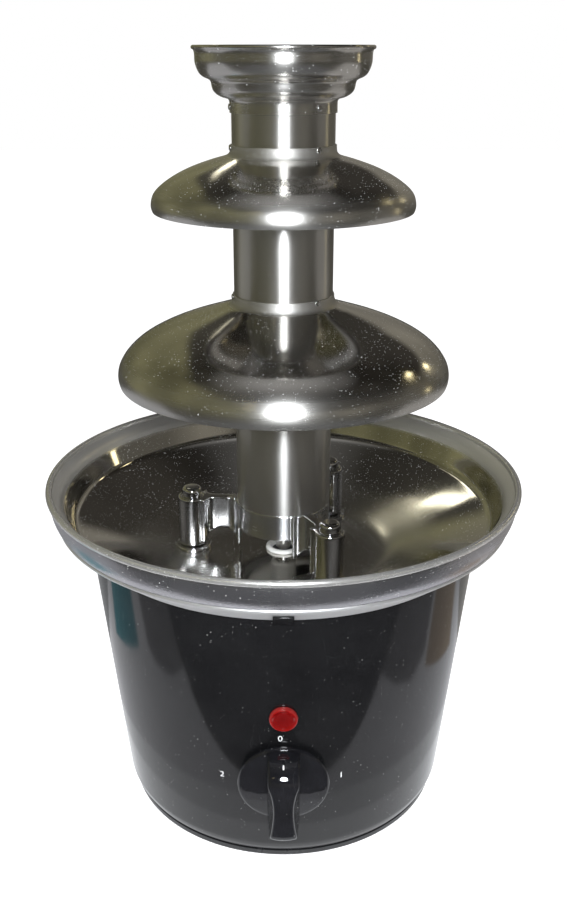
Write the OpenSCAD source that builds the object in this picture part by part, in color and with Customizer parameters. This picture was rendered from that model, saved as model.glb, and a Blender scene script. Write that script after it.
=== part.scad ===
// Table-top chocolate fountain: heated basin on a moulded housing, a lift-off
// tower of spun steel tiers, and a screw auger driven by a geared motor below.
// Millimetres, +Z up, front (control knob) towards -Y, origin on the table
// under the centre of the base.

/* [Tower] */
// Outer radius of the tower tube
tube_r = 25; // [24.9:0.05:25.05]
// Wall of the tower tube
tube_wall = 0.8; // [0.6:0.1:0.8]
// Sheet thickness of the cup and the tiers
tier_sheet = 0.7; // [0.5:0.05:0.7]
// Height of the lip of the upper tier
upper_lip_z = 325; // [318:0.5:328]
// Height of the lip of the lower tier
lower_lip_z = 239.5; // [234:0.5:246]
// Height of the rim of the crown cup
crown_z = 400.5; // [399:0.5:404]

/* [Auger] */
// Outer radius of the auger flight
auger_r = 21.8; // [20:0.1:22]
// Distance along the axis between turns of the flight
auger_pitch = 32; // [26:1:40]

/* [Basin] */
// Sheet thickness of the basin
basin_sheet = 0.9; // [0.7:0.05:0.95]
// Radius of the circle that the three locating pins stand on
pin_circle = 50; // [49.5:0.25:50.5]
// Radius of each locating pin
pin_r = 5.5; // [5:0.1:5.7]

/* [Base] */
// Wall of the housing
housing_wall = 2.5; // [2:0.1:3]
// Radius of the disc of the control knob
knob_r = 23; // [22.8:0.1:23.5]
// Height of the axis of the control knob
knob_z = 58; // [56:0.5:60]
// Height of the indicator lamp
lamp_z = 97.5; // [94:0.5:102]
// Radius of each rubber foot
foot_r = 9; // [7:0.5:11]

/* [Gears] */
// Module of both gear pairs
gear_m = 1; // [0.95:0.01:1]
// Addendum as a share of the module
gear_add = 0.9; // [0.8:0.05:0.95]
// Tooth thinning for backlash
gear_lash = 0.16; // [0.12:0.02:0.3]

/* [Hidden] */
$fn = 96;

steel = [0.74, 0.74, 0.76];
chrome = [0.82, 0.82, 0.84];
black = [0.05, 0.05, 0.055];
zinc = [0.66, 0.66, 0.68];
white = [0.93, 0.93, 0.91];

// Bearing of each pin from the front, turning to the right
pin_turn = [28, 148, 268];
function turned(a, r) = [r * sin(a), -r * cos(a)];
pin_at = [for (a = pin_turn) turned(a, pin_circle)];
boss_r = 7.75;
boss_bore = pin_r + 0.1;

// Slope of the housing wall
wall_r0 = 90;
wall_z0 = 14;
wall_top_z = 158;
wall_top_r = 104.7;
wall_k = (wall_top_r - wall_r0) / (wall_top_z - wall_z0);
wall_a = atan(wall_k);
function wall_at(z) = wall_r0 + (z - wall_z0) * wall_k;

// Inside face of the basin's cone
cone_k = (164.6 - 140.2) / (112.5 - 56);
function cone_z(r) = 140.2 + (r - 56) * cone_k;

// Gear train
out_n = 40;
big_n = 32;
pin_n = 16;
idler_dir = 118;
rotor_dir = 200;
idler_d = gear_m * (out_n + pin_n) / 2;
rotor_d = gear_m * (big_n + pin_n) / 2;
idler_p = [idler_d * cos(idler_dir), idler_d * sin(idler_dir)];
rotor_p = idler_p + [rotor_d * cos(rotor_dir), rotor_d * sin(rotor_dir)];
case_ears = [
  [27.5 * cos(20), 27.5 * sin(20)], [0, -27.5],
  rotor_p + [15.5 * cos(150), 15.5 * sin(150)],
  idler_p + [23.5 * cos(80), 23.5 * sin(80)]
];
can_ears = [for (a = [40, 160, 280]) rotor_p + [30 * cos(a), 30 * sin(a)]];
tie_at = [for (a = [0, 120, 240]) [75 * cos(a), 75 * sin(a)]];
feet_at = [for (a = [45 : 90 : 315]) [66 * cos(a), 66 * sin(a)]];

// ---- helpers ----------------------------------------------------------

function unit(v) = v / norm(v);
function left(v) = [-v[1], v[0]];
// Normal of an open profile at point i, averaged over its two edges
function edge_n(p, i) =
  let (n = len(p),
       a = i > 0 ? left(unit(p[i] - p[i - 1])) : left(unit(p[1] - p[0])),
       b = i < n - 1 ? left(unit(p[i + 1] - p[i])) : left(unit(p[n - 1] - p[n - 2])),
       m = unit(a + b))
  m / max(0.6, m * a);
function offset_profile(p, t) = [for (i = [0 : len(p) - 1]) p[i] + t * edge_n(p, i)];
function reversed(p) = [for (i = [len(p) - 1 : -1 : 0]) p[i]];

// A spun sheet of thickness t whose outer face follows the profile
module spun(p, t) {
  rotate_extrude() polygon(concat(p, reversed(offset_profile(p, t))));
}

// A ring-shaped roll of sheet
module roll(r, z, c) {
  translate([0, 0, z]) rotate_extrude() translate([r, 0]) circle(c, $fn = 32);
}

module at(list) {
  for (p = list) translate([p[0], p[1], 0]) children();
}

// Frames on the sloping front wall: local +Z points out of the wall
module on_wall(z) {
  translate([0, -wall_at(z), z]) rotate([90 + wall_a, 0, 0]) children();
}

// Involute gear outline, one tooth centred on angle 0
function inv_angle(rb, r) = let (t = sqrt(max(0, r * r / (rb * rb) - 1))) t * 180 / PI - atan(t);
function polar(r, a) = [r * cos(a), r * sin(a)];
function gear_points(n, steps = 4) =
  let (rp = gear_m * n / 2,
       rb = rp * cos(20),
       ra = rp + gear_add * gear_m,
       rr = rp - 1.2 * gear_m,
       half = 90 / n - gear_lash / 2 / rp * 180 / PI,
       base = half + inv_angle(rb, rp),
       r0 = max(rb, rr + 0.05))
  [for (k = [0 : n - 1]) let (c = 360 * k / n) each concat(
     [polar(rr, c - base - 0.6 * (180 / n - base) * 0.5)],
     [for (s = [0 : steps]) let (r = r0 + (ra - r0) * s / steps)
        polar(r, c - base + inv_angle(rb, r))],
     [for (s = [steps : -1 : 0]) let (r = r0 + (ra - r0) * s / steps)
        polar(r, c + base - inv_angle(rb, r))],
     [polar(rr, c + base + 0.6 * (180 / n - base) * 0.5)])];
module gear(n, z0, z1) {
  translate([0, 0, z0]) linear_extrude(z1 - z0) polygon(gear_points(n));
}

module hex(af, z0, z1) {
  translate([0, 0, z0]) cylinder(r = af / 2 / cos(30), h = z1 - z0, $fn = 6);
}
module rod(r, z0, z1) {
  translate([0, 0, z0]) cylinder(r = r, h = z1 - z0);
}

// ---- base: housing and bottom -----------------------------------------

module housing_shell() {
  w = housing_wall;
  rotate_extrude() polygon([
    [84.2, 7.3], [86.5, 7.3], [87.2, 7.9], [88.2, 9.3], [89.2, 11.4], [wall_r0, wall_z0],
    [wall_top_r, wall_top_z], [wall_top_r - w, wall_top_z], [wall_r0 - w, wall_z0],
    [84.2, 10.5]
  ]);
}
module housing() {
  color(black) difference() {
    union() {
      housing_shell();
      // flat seat for the rotary switch
      on_wall(knob_z) rod(21, -4, 0.6);
      // flat seat for the cord grommet at the rear
      translate([-11, 86, 7.3]) cube([22, 5.8, 19]);
      // key tab over the trim ring, at the front
      translate([4.8, 0, 0]) rotate([90, 0, -90]) linear_extrude(9.6)
        polygon([[104.0, 152.2], [104.0, 154.7], [105.2, 154.9], [116.4, 163.65], [117.1, 163.1], [117.0, 162.3], [107.2, 154.0], [105.6, 152.6]]);
    }
    on_wall(knob_z) rod(4.8, -8, 4);
    on_wall(lamp_z) rod(5.0, -8, 4);
    translate([-6, 80, 6]) cube([12, 15, 9]);
    translate([-9, 80, 7]) cube([18, 6, 17]);
    translate([0, 80, 15]) rotate([-90, 0, 0]) cylinder(r = 6, h = 15);
  }
}

module base_plate() {
  color(black) difference() {
    union() {
      rotate_extrude() polygon([
        [0, 4.0], [86.3, 4.0], [87.0, 4.35], [87.3, 5.1], [87.3, 7.1], [84.0, 7.1],
        [84.0, 10.3], [83.4, 12.0], [81.4, 12.0], [81.4, 6.6], [0, 6.6]
      ]);
      at(feet_at) rod(6, 6.5, 7.4);
    }
    at(feet_at) rod(3.05, 3, 9);
    at(tie_at) rod(2.15, 3, 9);
    // clear of the grommet
    translate([-10, 78, 6.7]) cube([20, 10, 8]);
    // vents
    for (a = [15 : 30 : 345]) rotate(a) translate([26, -1.6, 3]) cube([22, 3.2, 5]);
  }
}

module rubber_feet() {
  color([0.09, 0.09, 0.09]) at(feet_at) rotate_extrude() polygon([
    [0, 0.6], [foot_r - 3, 0.6], [foot_r - 3, 0], [foot_r - 1, 0], [foot_r - 0.3, 0.5],
    [foot_r, 3.3], [foot_r - 0.5, 3.9], [3.0, 3.9], [3.0, 7.5], [4.0, 7.9], [2.4, 10.5], [0, 10.5]
  ]);
}

module tie_rods() {
  color(zinc) at(tie_at) {
    difference() {
      rotate_extrude() polygon([
        [0, 1.8], [3.0, 1.8], [3.8, 2.4], [4.2, 3.95], [2.0, 3.95], [2.0, 143.5], [1.6, 144], [0, 144]
      ]);
      for (a = [0, 90]) rotate(a) translate([-2.4, -0.45, 1.5]) cube([4.8, 0.9, 1.4]);
    }
  }
}

module tie_nuts() {
  color(zinc) difference() {
    at(tie_at) difference() {
      hex(10, 136.5, 152);
      rod(2.05, 136, 146);
    }
    rotate_extrude() polygon([
      [50, cone_z(50) - 1.1], [100, cone_z(100) - 1.1], [100, 170], [50, 170]
    ]);
  }
}

// ---- base: basin and what fixes it ------------------------------------

module basin_sheet_profile() {
  p = [
    [7.15, 140.2], [52.0, 140.2], [54.5, 140.3], [56.5, 140.65], [58.5, cone_z(58.5) + 0.1],
    [110.0, cone_z(110)], [111.6, 164.4], [112.7, 165.5], [113.4, 167.0], [117.2, 177.4],
    [117.9, 178.9], [119.0, 180.3], [120.6, 181.7], [123.0, 183.3], [124.4, 184.0]
  ];
  rotate_extrude() polygon(concat(p, reversed(offset_profile(p, -basin_sheet))));
}
module basin() {
  color(steel) difference() {
    union() {
      basin_sheet_profile();
      roll(124.3, 183.9, 1.7);
    }
    at(pin_at) rod(2.7, 136, 144);
  }
}

// Funnel that carries the basin on the housing: its flange lies under the basin,
// its collar round the top of the housing
module trim_ring() {
  g = 1.15;
  color(steel) union() {
    rotate_extrude() polygon([
      [95, cone_z(95) - g], [105.9, cone_z(105.9) - g], [106.5, 159.6], [106.9, 157.6], [119.2, 167.25],
      [120.25, 166.96], [105.3, 155.2], [104.95, 155.4], [104.95, 159.3],
      [104.2, cone_z(104.2) - g - 0.85], [95, cone_z(95) - g - 0.85]
    ]);
    roll(119.7, 167.9, 1.1);
  }
}

// Band that closes the outside between the rolled rim and the trim ring
module basin_skirt() {
  color(steel) spun([
    [120.6, 168.85], [121.3, 169.9], [122.3, 171.6], [123.2, 173.6], [123.9, 176.2], [124.2, 179.0], [124.3, 181.9]
  ], 0.85);
}

module locating_pins() {
  color(chrome) difference() {
    at(pin_at) rotate_extrude() polygon([
      [0, 127], [2.1, 127], [2.5, 127.6], [2.5, 140.3], [10, 140.3], [10, 142.2], [9.4, 142.9],
      [pin_r, 143.0], [pin_r, 174.0], [pin_r - 0.3, 175.1], [pin_r - 1, 175.9], [pin_r - 2, 176.3], [0, 176.3]
    ]);
    // the flange follows the floor where it starts to rise
    rotate_extrude() polygon([[51.5, 139], [51.5, 140.3], [54, 140.45], [56.5, 140.85], [59, cone_z(59) + 0.3], [64, cone_z(64) + 0.3], [64, 139]]);
  }
}
module pin_nuts() {
  color(zinc) at(pin_at) difference() {
    hex(8, 134.6, 139.15);
    rod(2.55, 134, 140);
  }
}
module standoffs() {
  color(zinc) at(pin_at) difference() {
    rod(4, 106.1, 134.4);
    rod(2.55, 124, 135);
    rod(1.95, 106, 119);
  }
}
module plate_screws() {
  color(zinc) at(pin_at) rotate_extrude() polygon([
    [0, 101.2], [3.0, 101.2], [3.6, 102], [3.6, 103.9], [1.9, 103.9], [1.9, 116], [0, 116.8]
  ]);
}

// ---- base: gearbox and motor ------------------------------------------

module motor_plate() {
  color(zinc) difference() {
    rod(60, 104, 106);
    rod(7.05, 103, 107);
    at(pin_at) rod(2.1, 103, 107);
    at(case_ears) rod(1.6, 103, 107);
    at([idler_p, rotor_p]) rod(1.52, 103, 107);
    for (a = [-32, -2, 75, 208, 238]) rotate(a) translate([44, 0, 0]) rod(6, 103, 107);
  }
}

module case_outline(d) {
  hull() {
    circle(25 - d, $fn = 48);
    translate(idler_p) circle(21 - d, $fn = 48);
    translate(rotor_p) circle(13 - d, $fn = 48);
  }
}
module gear_case() {
  color([0.55, 0.56, 0.58]) difference() {
    union() {
      translate([0, 0, 84]) linear_extrude(19.9) case_outline(0);
      at(case_ears) rod(4.3, 84, 103.9);
      translate([rotor_p[0], rotor_p[1], 0]) rod(32, 84, 86);
      rod(9.5, 76, 85);
    }
    translate([0, 0, 86]) linear_extrude(20) case_outline(2);
    rod(6.55, 77.5, 90);
    at([rotor_p]) rod(6, 83, 88);
    at([idler_p]) rod(1.52, 83, 88);
    at(case_ears) rod(1.4, 92, 105);
    at(can_ears) rod(1.25, 83, 90);
  }
}
module case_screws() {
  color(zinc) at(case_ears) rotate_extrude() polygon([
    [0, 93], [1.35, 93.6], [1.35, 106.05], [2.8, 106.05], [2.8, 107.4], [2.2, 108.1], [0, 108.1]
  ]);
}
module motor_can() {
  color(zinc) translate([rotor_p[0], rotor_p[1], 0]) difference() {
    rotate_extrude() polygon([
      [1.52, 58], [26, 58], [27, 59], [27, 82.9], [32, 82.9], [32, 83.9], [26, 83.9], [26, 59], [1.52, 59]
    ]);
    for (a = [40, 160, 280]) rotate(a) translate([30, 0, 0]) rod(1.25, 82, 85);
    // clear of the boss of the lower bearing
    translate([-rotor_p[0], -rotor_p[1], 0]) rod(10.1, 82, 85);
    // way out for the coil leads
    rotate(250) translate([24, -4, 62]) cube([6, 8, 6]);
  }
}
module can_screws() {
  color(zinc) at(can_ears) rotate_extrude() polygon([
    [0, 81.0], [1.5, 81.0], [2.0, 81.6], [2.0, 82.85], [1.2, 82.85], [1.2, 85.9], [0, 85.9]
  ]);
}
module stator_coil() {
  color([0.72, 0.36, 0.16]) translate([rotor_p[0], rotor_p[1], 0]) rotate_extrude() polygon([
    [17.6, 60.5], [25.4, 60.5], [25.4, 62], [24.6, 62.4], [24.6, 79.6], [25.4, 80], [25.4, 81.5], [17.6, 81.5]
  ]);
}
module stator_claws() {
  color(zinc) translate([rotor_p[0], rotor_p[1], 0]) difference() {
    rotate_extrude() polygon([[15.3, 59.4], [17.4, 59.4], [17.4, 82.6], [15.3, 82.6]]);
    for (a = [0 : 30 : 330]) rotate(a) translate([14, -0.8, 63]) cube([5, 1.6, 16]);
  }
}
module rotor_axle() {
  color(steel) at([rotor_p]) rod(1.5, 57.6, 105.8);
}
module idler_axle() {
  color(steel) at([idler_p]) rod(1.5, 84.1, 105.8);
}
module lower_bearing() {
  color([0.72, 0.52, 0.25]) rotate_extrude() polygon([
    [4.05, 77.6], [6.5, 77.6], [6.5, 86.1], [8.4, 86.1], [8.4, 87.3], [4.05, 87.3]
  ]);
}
module upper_bearing() {
  color([0.72, 0.52, 0.25]) rotate_extrude() polygon([
    [4.05, 103.6], [7.0, 103.6], [7.0, 106.05], [9.0, 106.05], [9.0, 107.6], [6.4, 107.8],
    [6.4, 112], [4.05, 112]
  ]);
}

// ---- base: shaft seal and heater --------------------------------------

module shaft_bushing() {
  color(white) rotate_extrude() polygon([
    [4.06, 125], [7.05, 125], [7.05, 140.3], [9.6, 140.3], [9.8, 141.0], [9.5, 141.8], [8.8, 142.3],
    [7.6, 142.3], [6.8, 141.8], [6.3, 141.0], [6.2, 138.7], [4.06, 138.7]
  ]);
}
module shaft_seal() {
  color([0.12, 0.12, 0.12]) rotate_extrude() polygon([
    [4.08, 138.8], [6.1, 138.8], [6.1, 140.0], [4.8, 140.2], [4.08, 141.0]
  ]);
}
module bushing_nut() {
  color(zinc) difference() {
    hex(20, 132, 139.15);
    rod(7.1, 131, 140);
  }
}
module heater_plate() {
  color([0.78, 0.79, 0.8]) difference() {
    rotate_extrude() polygon([[16, 134.8], [43, 134.8], [43, 139.15], [16, 139.15]]);
    clamp_places() rod(1.52, 134, 138.6);
  }
}
element_r = 31;
element_z = 131.4;
clamp_turn = [58, 148, 328];
module clamp_places() {
  for (a = clamp_turn) rotate(a) for (s = [-8, 8]) translate([element_r + s, 0, 0]) children();
}
module heating_element() {
  color([0.42, 0.4, 0.38]) {
    rotate(268) translate([0, 0, element_z]) rotate_extrude(angle = 300) translate([element_r, 0]) circle(3.3, $fn = 48);
    for (a = [201, 275]) rotate(a) translate([element_r, 0, 0]) {
      rod(2.4, 118, element_z);
      rod(1.2, 111, 118.5);
    }
  }
}
module element_clamps() {
  color(zinc) for (a = clamp_turn) rotate(a) difference() {
    translate([element_r, 4, element_z]) rotate([90, 0, 0]) linear_extrude(8) difference() {
      union() {
        circle(4.75, $fn = 48);
        translate([-4.75, 0]) square([9.5, 3.3]);
        translate([-11, 2.4]) square([22, 0.9]);
      }
      circle(3.75, $fn = 48);
      translate([-3.75, 0]) square([7.5, 5]);
    }
    for (s = [-8, 8]) translate([element_r + s, 0, 0]) rod(1.6, 132, 136);
  }
}
module clamp_screws() {
  color(zinc) clamp_places() rotate_extrude() polygon([
    [0, 131.6], [2.0, 131.6], [2.6, 132.3], [2.6, 133.7], [1.5, 133.7], [1.5, 138.4], [0, 138.4]
  ]);
}
module thermostat() {
  color([0.12, 0.1, 0.09]) rotate(103) translate([20.6, 0, 0]) {
    rotate_extrude() polygon([[0, 127.6], [5.6, 127.6], [5.6, 132.6], [6.5, 132.6], [6.5, 134.7], [0, 134.7]]);
    for (s = [-3, 3]) translate([s - 0.4, -2.4, 120]) cube([0.8, 4.8, 8]);
  }
}
module thermal_fuse() {
  color([0.85, 0.78, 0.6]) rotate(283) translate([21.5, 0, 132.6]) rotate([90, 0, 0]) {
    translate([0, 0, -5.5]) cylinder(r = 2, h = 11);
    translate([0, 0, -12]) cylinder(r = 0.5, h = 24);
  }
}

// ---- base: controls and wiring ----------------------------------------

module switch_body() {
  color([0.16, 0.15, 0.15]) on_wall(knob_z) difference() {
    union() {
      translate([-13, -13, -20.2]) cube([26, 26, 16.1]);
      rod(4.7, -5, 2.5);
      for (x = [-9, -3, 3, 9]) translate([x - 2.4, 6, -27]) cube([4.8, 0.8, 7.5]);
    }
    rod(3.06, -19, 3);
  }
}
module switch_nut() {
  color(zinc) on_wall(knob_z) difference() {
    hex(12, 0.65, 2.4);
    rod(4.75, 0, 3);
  }
}
module lamp_lens() {
  color([0.75, 0.04, 0.03]) on_wall(lamp_z) rotate_extrude() polygon([
    [0, 1.2], [3.4, 1.3], [4.8, 1.6], [5.5, 2.2], [6.1, 2.5], [6.7, 2.2], [7.0, 1.4], [7.0, 0.05],
    [4.9, 0.05], [4.9, -9], [3.8, -9], [3.8, 0.0], [0, 0.0]
  ]);
}
module lamp_clip() {
  color(zinc) on_wall(lamp_z) rotate_extrude() polygon([
    [4.95, -4.4], [5.6, -4.4], [8.6, -3.4], [8.6, -3.0], [5.6, -3.6], [4.95, -3.6]
  ]);
}
module lamp_holder() {
  color([0.85, 0.84, 0.8]) on_wall(lamp_z) rotate_extrude() polygon([
    [0, -20], [4.4, -20], [4.9, -19.4], [4.9, -9.1], [3.3, -9.1], [3.3, -17], [0, -17]
  ]);
}
module neon_bulb() {
  color([1, 0.6, 0.4]) on_wall(lamp_z) rotate_extrude() polygon([
    [0, -16.8], [2.9, -16.8], [2.9, -3.5], [2.5, -2.2], [1.6, -1.3], [0, -0.9]
  ]);
}
module cord_grommet() {
  color([0.07, 0.07, 0.07]) translate([0, 0, 15]) rotate([-90, 0, 0]) rotate_extrude() polygon([
    [3.6, 83.6], [7.0, 83.6], [7.7, 84.3], [7.7, 85.9], [5.85, 85.9], [5.85, 91.85], [7.7, 91.85],
    [7.7, 93.4], [7.0, 94.3], [4.4, 94.3], [3.6, 93.6]
  ]);
}
module terminal_block() {
  color([0.9, 0.89, 0.84]) difference() {
    union() {
      translate([-18, 56, 6.7]) cube([36, 12, 3]);
      for (x = [-11, 0, 11]) translate([x - 4.6, 56.5, 6.7]) cube([9.2, 11, 12]);
    }
    for (x = [-11, 0, 11]) {
      translate([x, 55, 12]) rotate([-90, 0, 0]) cylinder(r = 2, h = 15);
      for (y = [59, 65]) translate([x, y, 0]) rod(1.6, 13, 20);
    }
  }
}

// ---- tower ------------------------------------------------------------

collar_r = 25.75;
crown_profile = [
  [collar_r, -30.0], [collar_r, -24.4], [26.6, -23.7], [29.3, -23.1], [31.9, -21.7], [33.5, -20.0],
  [34.1, -17.6], [34.3, -15.9], [35.3, -15.0], [37.6, -14.2], [39.5, -12.8], [40.5, -11.1], [41.2, -9.3],
  [41.7, -7.5], [41.8, -3.1], [42.3, -1.9]
];
upper_profile = [
  [64.2, 0], [65.0, 1.5], [64.9, 3.6], [64.5, 6.0], [63.6, 8.2], [61.4, 10.8], [58.0, 13.4],
  [53.1, 16.5], [45.8, 20.0], [36.0, 23.4], [30.0, 25.0], [27.6, 25.8], [26.3, 26.9], [collar_r, 28.4],
  [collar_r, 30.8]
];
lower_profile = [
  [84.5, 0], [85.2, 2.0], [85.2, 4.0], [84.9, 6.4], [84.1, 8.8], [81.4, 13.4], [75.9, 18.6], [70.2, 22.2],
  [62.1, 26.2], [53.3, 29.7], [40.2, 34.0], [32.5, 36.5], [28.0, 38.4], [26.4, 39.9], [collar_r, 42.0],
  [collar_r, 43.8]
];
rivet_z = [crown_z - 27.3, upper_lip_z + 29.6, lower_lip_z + 42.9];
rivet_turn = [40, 160, 280];
module rivet_places() {
  for (z = rivet_z, a = rivet_turn) translate([0, 0, z]) rotate(a - 90) rotate([0, 90, 0]) children();
}
module rivet_holes() {
  rivet_places() translate([0, 0, 22]) cylinder(r = 0.85, h = 6, $fn = 24);
}

module tower_tube() {
  color(steel) difference() {
    rotate_extrude() polygon([
      [tube_r - tube_wall, 170.1], [tube_r, 170.1], [tube_r, crown_z - 23.8], [tube_r - tube_wall, crown_z - 23.8]
    ]);
    rivet_holes();
  }
}
module crown_cup() {
  color(steel) difference() {
    union() {
      translate([0, 0, crown_z]) spun(crown_profile, tier_sheet);
      roll(42.3, crown_z - 1.0, 1.0);
    }
    rivet_holes();
  }
}
module upper_tier() {
  color(steel) difference() {
    translate([0, 0, upper_lip_z]) spun(upper_profile, tier_sheet);
    rivet_holes();
  }
}
module lower_tier() {
  color(steel) difference() {
    translate([0, 0, lower_lip_z]) spun(lower_profile, tier_sheet);
    rivet_holes();
  }
}
module collar_rivets() {
  color(chrome) rivet_places() rotate_extrude($fn = 24) polygon([
    [0, 24.0], [0.83, 24.0], [0.83, 25.95], [1.5, 26.0], [1.35, 26.3], [0.9, 26.5], [0, 26.6]
  ]);
}

// Half-width of a foot arm at distance r from the axis, filleted at both ends
arm_h = 2.6;
arm_f = 5;
function fillet_h(d) = d < arm_f ? arm_f - sqrt(max(0, arm_f * arm_f - (arm_f - d) * (arm_f - d))) : 0;
function arm_half(r) = arm_h + max(fillet_h(r - 24.6), fillet_h(pin_circle - boss_r + 0.4 - r));
arm_r = [for (i = [0 : 28]) 24.6 + (pin_circle - boss_r + 0.4 - 24.6) * i / 28];
module foot_arm() {
  difference() {
    translate([0, 0, 145.5]) linear_extrude(25.5) polygon(concat(
      [[23.6, -arm_half(24.6)]], [for (r = arm_r) [r, -arm_half(r)]], [[pin_circle - 5.8, -arm_half(arm_r[28])]],
      [[pin_circle - 5.8, arm_half(arm_r[28])]], [for (i = [28 : -1 : 0]) [arm_r[i], arm_half(arm_r[i])]],
      [[23.6, arm_half(24.6)]]));
    translate([33.9, 20, 143.6]) rotate([90, 0, 0]) cylinder(r = 9.4, h = 40);
  }
}
module tower_foot() {
  color(chrome) difference() {
    union() {
      rotate_extrude() polygon([
        [22.5, 155.6], [24.6, 155.6], [tube_r, 156.0], [tube_r, 170], [24.1, 170], [24.1, 178], [23.5, 179], [22.5, 179]
      ]);
      intersection() {
        for (a = pin_turn) rotate(a - 90) foot_arm();
        difference() { rod(60, 140, 180); rod(23.2, 139, 181); }
      }
      at(pin_at) rotate_extrude() polygon([
        [0, 143.2], [7.2, 143.2], [boss_r, 143.8], [boss_r, 170.5], [7.1, 171.3], [0, 171.3]
      ]);
    }
    at(pin_at) rod(boss_bore, 140, 180);
    // room for the tube that stands on the ring
    rotate_extrude() polygon([[24.1, 170], [26.5, 170], [26.5, 180], [24.1, 180]]);
  }
}

// ---- drive and auger --------------------------------------------------

flat_half = 3;
module drive_shaft() {
  color(steel) difference() {
    rotate_extrude() polygon([
      [0, 77.8], [3.6, 77.8], [4, 78.2], [4, 167.2], [3.2, 168], [0, 168]
    ]);
    for (s = [0, 180]) rotate(s) translate([flat_half, -5, 147.5]) cube([4, 10, 25]);
  }
}
module output_gear() {
  color(white) difference() {
    union() {
      rotate(idler_dir) gear(out_n, 94.5, 102.5);
      rod(8, 93.4, 103.2);
    }
    rod(4.03, 90, 106);
  }
}
module auger_core() {
  color(white) difference() {
    rotate_extrude() polygon([
      [0, 147.8], [6.4, 147.8], [7, 148.4], [7, 379], [6.4, 381.5], [5, 383.3], [3, 384.2], [0, 384.5]
    ]);
    intersection() {
      rod(4.3, 147, 168.2);
      translate([-flat_half - 0.3, -6, 146]) cube([2 * flat_half + 0.6, 12, 30]);
    }
    rod(4.6, 147, 149);
  }
}
flight_z0 = 148.5;
flight_z1 = 374;
flight_t = 2.6;
flight_turn = 360 * (flight_z1 - flight_z0) / auger_pitch;
flight_n = ceil(flight_turn / 12);
// Four corners of the flight's section at step i along the helix
function flight_section(i) =
  let (a = flight_turn * i / flight_n, z = flight_z0 + (flight_z1 - flight_z0) * i / flight_n)
  [for (c = [[7.15, 0], [auger_r, 0.6], [auger_r, flight_t - 0.6], [7.15, flight_t]])
     [c[0] * cos(a), c[0] * sin(a), z + c[1]]];
module auger_flight() {
  color(white) polyhedron(
    points = [for (i = [0 : flight_n]) each flight_section(i)],
    faces = concat(
      [[0, 1, 2], [0, 2, 3]],
      [for (i = [0 : flight_n - 1], k = [0 : 3]) each let (a = 4 * i + k, b = 4 * i + (k + 1) % 4)
         [[a, a + 4, b], [b, a + 4, b + 4]]],
      [[4 * flight_n, 4 * flight_n + 2, 4 * flight_n + 1], [4 * flight_n, 4 * flight_n + 3, 4 * flight_n + 2]]));
}
module idler_gear() {
  color(white) translate([idler_p[0], idler_p[1], 0]) difference() {
    union() {
      rotate(rotor_dir) gear(big_n, 87.4, 93.2);
      rotate(idler_dir + 180 + 180 / pin_n) gear(pin_n, 93, 102.9);
      rod(4, 86.4, 103.5);
    }
    rod(1.55, 80, 110);
  }
}
module rotor_magnet() {
  color([0.2, 0.19, 0.19]) translate([rotor_p[0], rotor_p[1], 0])
    rotate_extrude() polygon([[5.25, 62], [14.0, 62], [14.5, 62.6], [14.5, 78.4], [14.0, 79], [5.25, 79]]);
}
module rotor_pinion() {
  color(white) translate([rotor_p[0], rotor_p[1], 0]) difference() {
    union() {
      rod(5.2, 60.5, 87.2);
      rotate(rotor_dir + 180 + 180 / pin_n) gear(pin_n, 87.0, 93.6);
    }
    rod(1.55, 55, 100);
  }
}

// ---- knob -------------------------------------------------------------

bar_profile = [
  [22.6, 3.0], [22.4, 5.0], [21.6, 9.0], [20.2, 12.8], [18.3, 16.0], [15.9, 18.4], [13.0, 19.8], [10.0, 20.2],
  [-18.6, 20.2], [-20.5, 19.8], [-21.7, 18.8], [-22.3, 17.0], [-22.5, 12.0], [-22.5, 3.0]
];
// Half-width of the grip's front face along its length
function waist(y) = y > 13 ? 7.6
  : y > -3 ? 5.1 + 2.5 * pow((y + 3) / 16, 2)
  : 5.1 + 2.0 * pow((-3 - y) / 19.5, 1.6);
waist_y = [for (i = [0 : 32]) 23 - 46 * i / 32];
module control_knob() {
  color(black) on_wall(knob_z) difference() {
    union() {
      rotate_extrude() polygon([
        [0, 1.1], [knob_r - 0.3, 1.1], [knob_r, 1.4], [knob_r, 2.6], [knob_r - 0.5, 3.5], [knob_r - 1.6, 4.0],
        [15, 4.9], [8, 5.4], [0, 5.6]
      ]);
      intersection() {
        translate([-8.1, 0, 0]) rotate([90, 0, 90]) linear_extrude(16.2) polygon(bar_profile);
        union() {
          rod(22.6, 2, 9);
          translate([0, 0, 8.9]) linear_extrude(15) polygon(concat(
            [for (y = waist_y) [waist(y), y]], [for (i = [32 : -1 : 0]) [-waist(waist_y[i]), waist_y[i]]]));
        }
      }
    }
    rod(19.6, 0, 3.3);
    intersection() {
      rod(3.02, 2, 15.3);
      translate([-4, -4, 0]) cube([8, 6.02, 20]);
    }
  }
}
module switch_shaft() {
  color(zinc) on_wall(knob_z) difference() {
    rod(3, -18.6, 15);
    translate([-4, 2, 3.2]) cube([8, 4, 14]);
  }
}

// ---- draw -------------------------------------------------------------

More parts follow.
